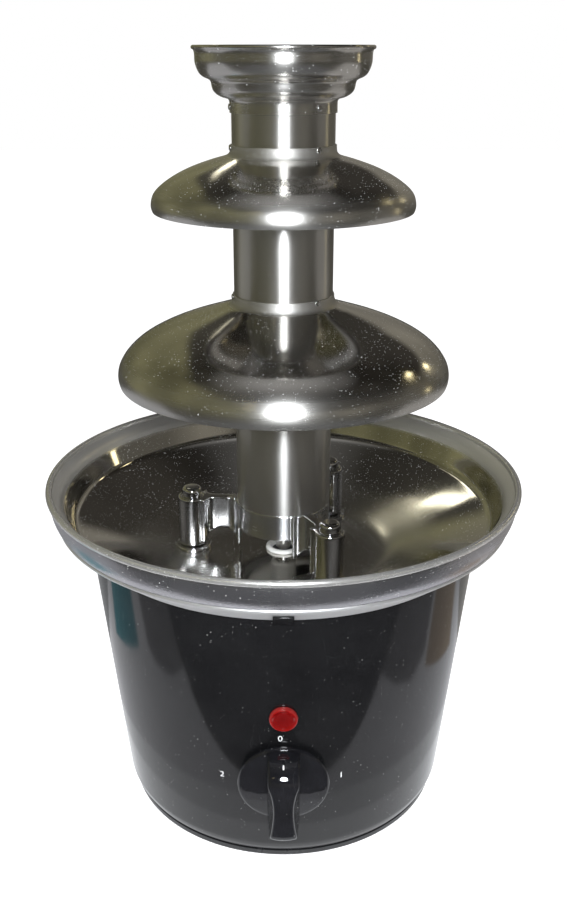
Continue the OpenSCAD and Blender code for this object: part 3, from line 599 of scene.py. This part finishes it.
def flight():
    """The screw's blade, with a rounded edge and run-out ends."""
    z0, z1, pitch, t, r1 = 148.5, 374.0, 32.0, 2.6, 21.8
    total = 2 * math.pi * (z1 - z0) / pitch
    n = 560
    sect = [(7.0, 0.0), (12, 0.12), (18, 0.3), (20.6, 0.45), (21.4, 0.62), (21.72, 0.9), (r1, 1.3), (21.72, 1.7), (21.4, 1.98),
            (20.6, 2.15), (18, 2.3), (12, 2.48), (7.0, t)]
    bm = bmesh.new()
    rings = []
    for i in range(n + 1):
        a, z = total * i / n, z0 + (z1 - z0) * i / n
        e = min(1.0, 0.45 + 0.55 * math.sqrt(min(i, n - i) / 22)) if min(i, n - i) < 22 else 1.0
        rings.append([bm.verts.new(((7.0 + (r - 7.0) * e) * math.cos(a) * MM, (7.0 + (r - 7.0) * e) * math.sin(a) * MM, (z + h) * MM)) for r, h in sect])
    m = len(sect)
    for p, q in zip(rings, rings[1:]):
        for j in range(m):
            k = (j + 1) % m
            bm.faces.new((p[j], q[j], q[k], p[k]))
    bm.faces.new(rings[0])
    bm.faces.new(rings[-1][::-1])
    me = bpy.data.meshes.new("flight")
    bm.to_mesh(me)
    bm.free()
    return me


finish_mesh("auger_blade", flight(), M["auger_white"], "auger", 50, ("auger_flight",))

# ---------------------------------------------------------------- basin and trim

floor_path = [
    (7.15, 140.2), (52.0, 140.2), (54.5, 140.3), (56.5, 140.65), (58.5, cone(58.5) + 0.1), (110.0, cone(110)), (111.6, 164.4),
    (112.7, 165.5), (113.4, 167.0), (117.2, 177.4), (117.9, 178.9), (119.0, 180.3), (120.6, 181.7), (122.79, 183.13)]
tight, wide = soften(floor_path, 0.8), soften(floor_path, 4.5)
w = (step01(tight[:, 0], 42, 48) * (1 - step01(tight[:, 0], 68, 78)))[:, None]
floor_path = tight * (1 - w) + wide * w
loop = soften(np.vstack([floor_path, arc(124.3, 183.9, 1.7, 207, -119, 60), offset(floor_path, -0.9)[::-1]]), 0.22, 0.2)
basin_me = carve(turn([thin(loop)], 256), [
    ("DIFFERENCE", turn([[(0, 136), (2.7, 136), (2.7, 141), (0, 141)]], 32, [Matrix.Translation((x * MM, y * MM, 0)) for x, y in PIN_AT]))])
finish_mesh("basin_bowl", basin_me, M["basin_steel"], "base", 40, ("basin",))

g = 1.15
loop = soften(np.vstack([
    [(95, cone(95) - g), (105.9, cone(105.9) - g), (106.5, 159.6), (106.9, 157.6)], arc(119.7, 167.9, 1.1, 231, -52, 40),
    [(105.3, 155.2), (104.95, 155.4), (104.95, 159.3), (104.2, cone(104.2) - g - 0.85), (95, cone(95) - g - 0.85)]]), 0.15, 0.1)
finish_mesh("trim_band", turn([thin(loop)], 256), M["trim_steel"], "base", 40, ("trim_ring",))

# the skirt band wears the darker steel, which has painted shade in its colour
band = soften([(120.6, 168.85), (121.3, 169.9), (122.3, 171.6), (123.2, 173.6), (123.9, 176.2), (124.2, 179.0), (124.3, 181.9)], 0.8, 0.2)
loop = soften(np.vstack([band, offset(band, 0.85)[::-1]]), 0.12, 0.15)
loop = thin(np.vstack([loop, loop[:1] + (loop[-1:] - loop[:1]) * 0.5]))
finish_mesh("skirt_band", turn([loop], 256), M["skirt_steel_painted_shade"], "base", 40, ("basin_skirt",))

path = soften([(0, 176.3), (3.5, 176.3), (4.5, 175.9), (5.2, 175.1), (5.5, 174.0), (5.5, 143.3), (5.8, 143.0), (9.4, 142.9), (10, 142.2),
               (10, 140.3), (2.5, 140.3), (2.5, 127.6), (2.1, 127), (0, 127)], 0.22, 0.12)
path[[0, -1], 0] = 0
finish_mesh("pin_set", turn([thin(path)], 72, [Matrix.Translation((x * MM, y * MM, 0)) for x, y in PIN_AT]),
            M["chrome_plate"], "base", 40, ("locating_pins",))

loop = soften([(4.06, 125), (7.05, 125), (7.05, 140.3), (9.6, 140.3), (9.8, 141.0), (9.5, 141.8), (8.8, 142.3), (7.6, 142.3), (6.8, 141.8),
               (6.3, 141.0), (6.2, 138.7), (4.06, 138.7), (4.06, 125.2)], 0.14, 0.1)
finish_mesh("bushing_ring", turn([thin(loop)], 96), M["white_nylon"], "base", 40, ("shaft_bushing",))

# ---------------------------------------------------------------- housing


def rod(r, z0, z1, place, seg=64):
    return turn([[(0, z0), (r, z0), (r, z1), (0, z1)]], seg, [place])


shell = soften([(84.2, 7.3), (86.5, 7.3), (87.2, 7.9), (88.2, 9.3), (89.2, 11.4), (90, 14), (104.7, 158)], 0.5, 0.3)
shell = np.vstack([thin(shell, 0.004, 9.0), [(104.55, 158.15), (102.4, 158.15), (102.2, 158)], [(87.5, 14), (84.2, 10.5)]])
seat = soften([(0, 0.6), (20.4, 0.6), (20.85, 0.45), (21.0, 0.2), (21.0, -4), (0, -4)], 0.1, 0.1)
seat[[0, -1], 0] = 0
y_axis = Matrix.Translation((0, 0, 15 * MM)) @ Matrix.Rotation(-math.pi / 2, 4, "X")
housing_me = carve(turn([shell], 256), [
    ("UNION", turn([thin(seat)], 128, [wall_frame(KNOB_Z)])),
    ("UNION", prism([(86, 7.5), (91.8, 7.5), (91.8, 26.3), (86, 26.3)], -11, 11, 0.6)),
    ("UNION", prism([(-104.0, 152.2), (-104.0, 154.7), (-105.2, 154.9), (-116.4, 163.65), (-117.1, 163.1), (-117.0, 162.3), (-107.2, 154.0), (-105.6, 152.6)], -4.8, 4.8, 0.15)),
    ("DIFFERENCE", rod(4.8, -8, 4, wall_frame(KNOB_Z))),
    ("DIFFERENCE", rod(5.0, -8, 4, wall_frame(LAMP_Z))),
    ("DIFFERENCE", prism([(80, 6), (95, 6), (95, 15), (80, 15)], -6, 6, 0)),
    ("DIFFERENCE", prism([(80, 7), (86, 7), (86, 24), (80, 24)], -9, 9, 0)),
    ("DIFFERENCE", rod(6, 80, 95, y_axis)),
])
finish_mesh("housing_shell", housing_me, M["housing_black"], "base", 24, ("housing",))

path = soften([(3.6, 83.9), (3.9, 83.6), (7.0, 83.6), (7.7, 84.3), (7.7, 85.9), (5.85, 85.9), (5.85, 91.85), (7.7, 91.85), (7.7, 93.4),
               (7.0, 94.3), (4.4, 94.3), (3.6, 93.6), (3.6, 84.1)], 0.2, 0.1)
finish_mesh("inlet_grommet", turn([thin(path)], 72, [y_axis]), M["rubber_black"], "base", 40, ("cord_grommet",))

path = soften([(0, 1.2), (3.4, 1.3), (4.8, 1.6), (5.5, 2.2), (6.1, 2.5), (6.7, 2.2), (7.0, 1.4), (7.0, 0.05), (4.9, 0.05), (4.9, -9),
               (3.8, -9), (3.8, 0.0), (0, 0.0)], 0.2, 0.08)
path[[0, -1], 0] = 0
finish_mesh("lens_cap", turn([thin(path, 0.003, 1)], 96, [wall_frame(LAMP_Z)]), M["lens_red"], "base", 40, ("lamp_lens",))

# ---------------------------------------------------------------- knob


def waist(y):
    if y > 13:
        return 7.6
    if y > -3:
        return 5.1 + 2.5 * ((y + 3) / 16) ** 2
    return 5.1 + 2.0 * ((-3 - y) / 19.5) ** 1.6


KNOB_SIDE = [(22.6, 3.0), (22.4, 5.0), (21.6, 9.0), (20.2, 12.8), (18.3, 16.0), (15.9, 18.4), (13.0, 19.8), (10.0, 20.2), (-18.6, 20.2),
             (-20.5, 19.8), (-21.7, 18.8), (-22.3, 17.0), (-22.5, 12.0), (-22.5, 3.0)]


def knob():
    """Skirt disc and the raised bar, in the frame of the wall."""
    disc = soften([(0, 5.6), (8, 5.4), (15, 4.9), (20.8, 4.2), (21.2, 4.05), (21.7, 4.0), (22.5, 3.5), (23.0, 2.6), (23.0, 1.4), (22.7, 1.1),
                   (19.6, 1.1), (19.6, 3.3), (0, 3.3)], 0.16, 0.08)
    disc[[0, -1], 0] = 0
    me = turn([thin(disc, 0.003, 2)], 160)
    bm = bmesh.new()
    bm.from_mesh(me)
    side = soften(KNOB_SIDE, 0.9, 0.35)
    side = side[(side[:, 1] > 3.7)]
    z0 = 3.4
    rows = []
    for y, h in side:
        wt = float(waist(y))
        wb = max(wt + 0.4, 8.1) * (0.5 + 0.5 * float(step01(h, 3.4, 6.0)))
        rc = min(1.5, 0.45 * (h - z0))
        half = []
        for s in np.linspace(0, 1, 12):
            z = z0 + (h - rc - z0) * s
            f = float(step01(z, 5.0, min(max(h - rc, 6.0), 15.0)))
            half.append((wb + (wt - wb) * f, z))
        xe = half[-1][0]
        for a in np.linspace(0, math.pi / 2, 9)[1:]:
            half.append((xe - rc + rc * math.cos(a), h - rc + rc * math.sin(a)))
        xt = half[-1][0]
        for s in (0.75, 0.5, 0.25, 0):
            half.append((xt * s, h + 0.3 * (1 - s * s) * float(step01(h, 5, 12))))
        full = half + [(-x, z) for x, z in half[-2::-1]]
        end = float(step01(abs(y), 9, 22.6))
        rows.append([bm.verts.new((x * MM, (y - math.copysign(23.2 - math.sqrt(23.2 ** 2 - x * x), y) * end) * MM, z * MM)) for x, z in full])
    m = len(rows[0])
    for p, q in zip(rows, rows[1:]):
        for j in range(m):
            k = (j + 1) % m
            bm.faces.new((p[j], q[j], q[k], p[k]))
    bm.faces.new(rows[0])
    bm.faces.new(rows[-1][::-1])
    bmesh.ops.recalc_face_normals(bm, faces=bm.faces)
    bm.transform(wall_frame(KNOB_Z))
    bm.to_mesh(me)
    bm.free()
    return me


finish_mesh("dial_knob", knob(), M["knob_black"], "knob", 50, ("control_knob",))


def pointer():
    """The printed mark of the knob: a short line up its ramp."""
    ramp = soften(KNOB_SIDE, 0.9, 0.35)
    ramp = ramp[ramp[:, 0] > 0]
    d = np.gradient(ramp, axis=0)
    d /= np.linalg.norm(d, axis=1)[:, None]
    out = np.c_[d[:, 1], -d[:, 0]]
    out *= np.sign(out[:, :1] + 1e-9)
    run = np.flatnonzero((ramp[:, 1] > 11.2) & (ramp[:, 1] < 13.8))
    bm = bmesh.new()
    rows = []
    for n, i in enumerate(run):
        w = 0.36 if 0 < n < len(run) - 1 else 0.24
        rows.append([bm.verts.new((x * MM, (ramp[i, 0] + out[i, 0] * h) * MM, (ramp[i, 1] + 0.3 * float(step01(ramp[i, 1], 5, 12)) + out[i, 1] * h) * MM))
                     for x, h in ((-w, -0.1), (-w, 0.03), (-w * 0.8, 0.05), (w * 0.8, 0.05), (w, 0.03), (w, -0.1))])
    for p, q in zip(rows, rows[1:]):
        for j in range(6):
            k = (j + 1) % 6
            bm.faces.new((p[j], q[j], q[k], p[k]))
    bm.faces.new(rows[0])
    bm.faces.new(rows[-1][::-1])
    bm.transform(wall_frame(KNOB_Z))
    me = bpy.data.meshes.new("pointer")
    bm.to_mesh(me)
    bm.free()
    return me


finish_mesh("pointer_mark", pointer(), M["white_print"], "knob", 40)


def numeral(name, text, x0, z_mid, height):
    """A digit in thin white print that lies on the cone of the housing."""
    c = bpy.data.curves.new(name, "FONT")
    c.body, c.size, c.align_x, c.align_y, c.resolution_u = text, 1.0, "CENTER", "CENTER", 6
    o = bpy.data.objects.new(name + "_text", c)
    bpy.context.scene.collection.objects.link(o)
    bpy.context.view_layer.update()
    me = bpy.data.meshes.new_from_object(o.evaluated_get(bpy.context.evaluated_depsgraph_get()))
    bpy.data.objects.remove(o)
    bm = bmesh.new()
    bm.from_mesh(me)
    ys = [v.co.y for v in bm.verts]
    k = height / (max(ys) - min(ys))
    mid = (max(ys) + min(ys)) / 2
    bmesh.ops.remove_doubles(bm, verts=bm.verts, dist=1e-5)
    front = bm.faces[:]
    made = bmesh.ops.extrude_face_region(bm, geom=front)
    back = {v for v in made["geom"] if isinstance(v, bmesh.types.BMVert)}
    for v in bm.verts:
        x, y = v.co.x * k + x0, (v.co.y - mid) * k
        z = z_mid + y * math.cos(WALL_A)
        r = wall_at(z) + (0.05 if v in back else -0.08)
        a = x / wall_at(z)
        v.co = (r * math.sin(a) * MM, -r * math.cos(a) * MM, z * MM)
    bm.to_mesh(me)
    bm.free()
    me.materials.clear()
    return finish_mesh(name, me, M["white_print"], "base", 40)


numeral("numeral_0", "0", -1.6, 84.5, 3.4)
numeral("numeral_1", "1", 29.5, 57.5, 3.4)
numeral("numeral_2", "2", -31.5, 57.5, 3.4)

# ---------------------------------------------------------------- stage: floor, light, camera


def plane(name, corners, mat, faces=None):
    me = bpy.data.meshes.new(name)
    me.from_pydata(corners, [], faces or [tuple(range(len(corners)))])
    o = bpy.data.objects.new(name, me)
    o.data.materials.append(mat)
    bpy.context.scene.collection.objects.link(o)
    return o


def glow(name, colour, strength):
    m = bpy.data.materials.new(name)
    m.use_nodes = True
    t = m.node_tree
    t.nodes.remove(t.nodes["Principled BSDF"])
    e = t.nodes.new("ShaderNodeEmission")
    e.inputs["Color"].default_value = (*colour, 1)
    e.inputs["Strength"].default_value = strength
    t.links.new(e.outputs[0], t.nodes["Material Output"].inputs[0])
    return m


def card(name, corners, colour, strength, faces=None):
    """A studio card that shows only in reflections."""
    o = plane(name, corners, glow(name, colour, strength), faces)
    o.visible_camera = o.visible_diffuse = o.visible_shadow = o.visible_transmission = False
    return o


fm = Mat("floor_pale")
fm.set(Base_Color=fm.ramp(fm.noise(fm.pos, 3, 2), (0.3, (0.86, 0.86, 0.86)), (0.7, (0.88, 0.88, 0.88))))
fm.b.inputs["Roughness"].default_value = 0.7
fm.b.inputs["Emission Color"].default_value = (1, 1, 1, 1)
fm.b.inputs["Emission Strength"].default_value = 0.85
plane("floor", [(-4, -4, 0), (4, -4, 0), (4, 4, 0), (-4, 4, 0)], fm.m)

card("dark_floor", [(-3.9, -3.9, 0.0003), (3.9, -3.9, 0.0003), (3.9, 3.9, 0.0003), (-3.9, 3.9, 0.0003)], (1.0, 0.95, 0.8), 0.07)
card("bright_table", [(-0.34, -0.137, 0.0005), (0.34, -0.137, 0.0005), (0.34, 0.12, 0.0005), (-0.34, 0.12, 0.0005)], (0.95, 0.96, 1.0), 0.8)
card("side_table_left", [(-1.6, -0.137, 0.0004), (-0.34, -0.137, 0.0004), (-0.34, 0.6, 0.0004), (-1.6, 0.6, 0.0004)], (0.97, 0.97, 1.0), 0.45)
card("side_table_right", [(0.34, -0.137, 0.0004), (1.6, -0.137, 0.0004), (1.6, 0.6, 0.0004), (0.34, 0.6, 0.0004)], (1.0, 0.97, 0.93), 0.4)
card("back_table_left", [(-0.34, 0.12, 0.0004), (-0.1, 0.12, 0.0004), (-0.1, 0.9, 0.0004), (-0.34, 0.9, 0.0004)], (0.95, 0.97, 1.0), 0.36)
card("back_table_right", [(0.1, 0.12, 0.0004), (0.34, 0.12, 0.0004), (0.34, 0.9, 0.0004), (0.1, 0.9, 0.0004)], (1.0, 0.97, 0.93), 0.36)
card("shade_left", [(x, y, 0.0007) for x, y in ((-0.34, -0.137), (-0.172, -0.137), (-0.178, -0.105), (-0.203, -0.07), (-0.225, -0.055), (-0.34, -0.03))], (0.97, 0.97, 1.0), 0.33)
card("shade_right", [(x, y, 0.0007) for x, y in ((0.165, -0.137), (0.34, -0.137), (0.34, -0.01), (0.215, -0.035), (0.185, -0.065), (0.172, -0.1))], (0.97, 0.97, 1.0), 0.28)
card("teal_mat", [(-0.33, 0.0, 0.0008), (-0.22, -0.025, 0.0008), (-0.205, 0.075, 0.0008), (-0.33, 0.11, 0.0008)], (0.3, 0.7, 0.8), 0.48)
card("brown_mat", [(0.2, -0.03, 0.0008), (0.3, -0.01, 0.0008), (0.3, 0.1, 0.0008), (0.19, 0.07, 0.0008)], (0.55, 0.46, 0.37), 0.8)
ring = [(r * math.cos(a * math.pi / 32), r * math.sin(a * math.pi / 32), 0.0009) for a in range(64) for r in (0.088, 0.112, 0.13)]
for n, (k, strength) in enumerate(((0, 1.25), (1, 1.0))):
    card("near_table_%d" % n, ring, (0.95, 0.97, 1.0), strength, [(3 * a + k, 3 * a + k + 1, (3 * a + k + 4) % 192, (3 * a + k + 3) % 192) for a in range(64)])
card("front_table", [(-0.5, -0.6, 0.0005), (0.5, -0.6, 0.0005), (0.5, -0.14, 0.0005), (-0.5, -0.14, 0.0005)], (0.95, 0.97, 1.0), 0.13)


def lamp(name, start, way, reach, wide, high, colour, strength, roll=0.0):
    """A card at a distance along a direction, facing back along it."""
    w = Vector(way).normalized()
    mid = Vector(start) * MM + w * reach
    side = w.cross(Vector((0, 0, 1))).normalized()
    up = side.cross(w)
    c, n = math.cos(math.radians(roll)), math.sin(math.radians(roll))
    side, up = side * c + up * n, up * c - side * n
    return card(name, [mid - side * wide - up * high, mid + side * wide - up * high, mid + side * wide + up * high, mid - side * wide + up * high], colour, strength)


lamp("back_lamp", (93, 23, 157), (-0.34, 1.113, 0.779), 1.4, 0.1, 0.024, (1.0, 0.95, 0.72), 3.8, -50)
lamp("back_lamp_mid", (93, 23, 157), (-0.43, 1.013, 0.889), 1.4, 0.075, 0.02, (1.0, 0.94, 0.72), 1.8, -55)
lamp("back_lamp_far", (93, 23, 157), (-0.486, 0.935, 0.982), 1.4, 0.06, 0.02, (1.0, 0.93, 0.7), 0.7, -60)
lamp("lamp_left", (-15, -80, 252), (-0.33, -0.68, 0.66), 2.0, 0.07, 0.05, (1.0, 0.86, 0.5), 4.0)
lamp("lamp_right", (68, -37, 256), (0.66, 0.66, 0.35), 1.8, 0.06, 0.06, (1.0, 0.86, 0.5), 5.0)
lamp("lamp_side", (60, -53, 254), (0.72, 0.42, 0.55), 1.8, 0.1, 0.06, (1.0, 0.86, 0.5), 4.0)
lamp("lamp_wall", (-100, 56, 170), (0.95, 0.3, 0.1), 1.8, 0.05, 0.08, (1.0, 0.86, 0.5), 4.0)

world = bpy.data.worlds.new("room")
bpy.context.scene.world = world
world.use_nodes = True
wt = world.node_tree
wt.nodes.clear()
out = wt.nodes.new("ShaderNodeOutputWorld")
coord = wt.nodes.new("ShaderNodeTexCoord")
noise = wt.nodes.new("ShaderNodeTexNoise")
noise.inputs["Scale"].default_value = 1.7
noise.inputs["Detail"].default_value = 2
wt.links.new(coord.outputs["Generated"], noise.inputs["Vector"])
def tones(source, *stops):
    n = wt.nodes.new("ShaderNodeValToRGB")
    while len(n.color_ramp.elements) < len(stops):
        n.color_ramp.elements.new(0.5)
    for e, (at, c) in zip(n.color_ramp.elements, stops):
        e.position, e.color = at, (*c, 1)
    wt.links.new(source, n.inputs[0])
    return n.outputs[0]


way = wt.nodes.new("ShaderNodeSeparateXYZ")
wt.links.new(coord.outputs["Generated"], way.inputs[0])
side = wt.nodes.new("ShaderNodeMapRange")
wt.links.new(way.outputs[0], side.inputs[0])
for n, v in zip(side.inputs[1:5], (-1, 1, 0, 1)):
    n.default_value = v
low = tones(side.outputs[0], (0.0, (0.2, 0.19, 0.1)), (0.4, (0.2, 0.19, 0.11)), (0.5, (0.23, 0.215, 0.185)), (0.75, (0.2, 0.185, 0.15)), (0.86, (0.19, 0.176, 0.145)), (0.96, (0.09, 0.084, 0.07)))
high = tones(side.outputs[0], (0.0, (0.07, 0.066, 0.048)), (0.4, (0.046, 0.043, 0.036)), (0.62, (0.036, 0.033, 0.028)), (1.0, (0.036, 0.032, 0.026)))
top = tones(side.outputs[0], (0.25, (0.75, 0.75, 0.75)), (0.29, (0.68, 0.68, 0.68)), (0.35, (0.43, 0.43, 0.43)), (0.46, (0.34, 0.34, 0.34)), (0.5, (0.28, 0.28, 0.28)), (0.6, (0.27, 0.27, 0.27)), (0.66, (0.38, 0.38, 0.38)), (1.0, (0.4, 0.4, 0.4)))
over = wt.nodes.new("ShaderNodeMath")
over.operation = "SUBTRACT"
wt.links.new(way.outputs[2], over.inputs[0])
wt.links.new(top, over.inputs[1])
edge = wt.nodes.new("ShaderNodeMapRange")
wt.links.new(over.outputs[0], edge.inputs[0])
for n, v in zip(edge.inputs[1:5], (-0.02, 0.06, 0, 1)):
    n.default_value = v
wall_mix = wt.nodes.new("ShaderNodeMix")
wall_mix.data_type = "RGBA"
wt.links.new(edge.outputs[0], wall_mix.inputs[0])
wt.links.new(low, wall_mix.inputs[6])
wt.links.new(high, wall_mix.inputs[7])
walls = wall_mix.outputs[2]
spots = tones(noise.outputs["Fac"], (0.38, (0.6, 0.6, 0.6)), (0.5, (1.0, 1.0, 1.0)), (0.62, (1.45, 1.45, 1.45)))
ramp = wt.nodes.new("ShaderNodeMix")
ramp.data_type, ramp.blend_type = "RGBA", "MULTIPLY"
ramp.inputs[0].default_value = 1.0
wt.links.new(walls, ramp.inputs[6])
wt.links.new(spots, ramp.inputs[7])
room = wt.nodes.new("ShaderNodeBackground")
ceiling = tones(way.outputs[2], (0.86, (0, 0, 0)), (0.94, (0.14, 0.139, 0.138)), (1.0, (0.4, 0.398, 0.396)))
lit = wt.nodes.new("ShaderNodeMix")
lit.data_type, lit.blend_type = "RGBA", "ADD"
lit.inputs[0].default_value = 1.0
wt.links.new(ramp.outputs[2], lit.inputs[6])
wt.links.new(ceiling, lit.inputs[7])
wt.links.new(lit.outputs[2], room.inputs[0])
room.inputs[1].default_value = 0.9
fill = wt.nodes.new("ShaderNodeBackground")
fill.inputs[0].default_value, fill.inputs[1].default_value = (0.97, 0.98, 1, 1), 0.4
back = wt.nodes.new("ShaderNodeBackground")
back.inputs[0].default_value, back.inputs[1].default_value = (1, 1, 1, 1), 1.0
path_node = wt.nodes.new("ShaderNodeLightPath")
mix_a, mix_b = wt.nodes.new("ShaderNodeMixShader"), wt.nodes.new("ShaderNodeMixShader")
wt.links.new(path_node.outputs["Is Glossy Ray"], mix_a.inputs[0])
wt.links.new(fill.outputs[0], mix_a.inputs[1])
wt.links.new(room.outputs[0], mix_a.inputs[2])
wt.links.new(path_node.outputs["Is Camera Ray"], mix_b.inputs[0])
wt.links.new(mix_a.outputs[0], mix_b.inputs[1])
wt.links.new(back.outputs[0], mix_b.inputs[2])
wt.links.new(mix_b.outputs[0], out.inputs[0])


def area(name, at, look, size, power, colour=(1, 1, 1)):
    l = bpy.data.lights.new(name, "AREA")
    l.shape, l.size, l.energy, l.color = "DISK", size, power, colour
    o = bpy.data.objects.new(name, l)
    o.location = at
    o.rotation_euler = (Vector(look) - Vector(at)).to_track_quat("-Z", "Y").to_euler()
    bpy.context.scene.collection.objects.link(o)
    return o


area("key", (0.01, -0.56, 0.46), (0, 0, 0.22), 0.14, 4.7, (0.92, 0.96, 1.0))

cam = bpy.data.cameras.new("camera")
cam.lens, cam.sensor_width, cam.sensor_fit = 41.97, 36, "AUTO"
cam.clip_start = 0.01
co = bpy.data.objects.new("camera", cam)
co.location = (0, -0.5235, 0.399)
co.rotation_euler = (math.radians(90 - 20.95), 0, 0)
bpy.context.scene.collection.objects.link(co)
bpy.context.scene.camera = co
bpy.context.scene.view_settings.view_transform = "Standard"
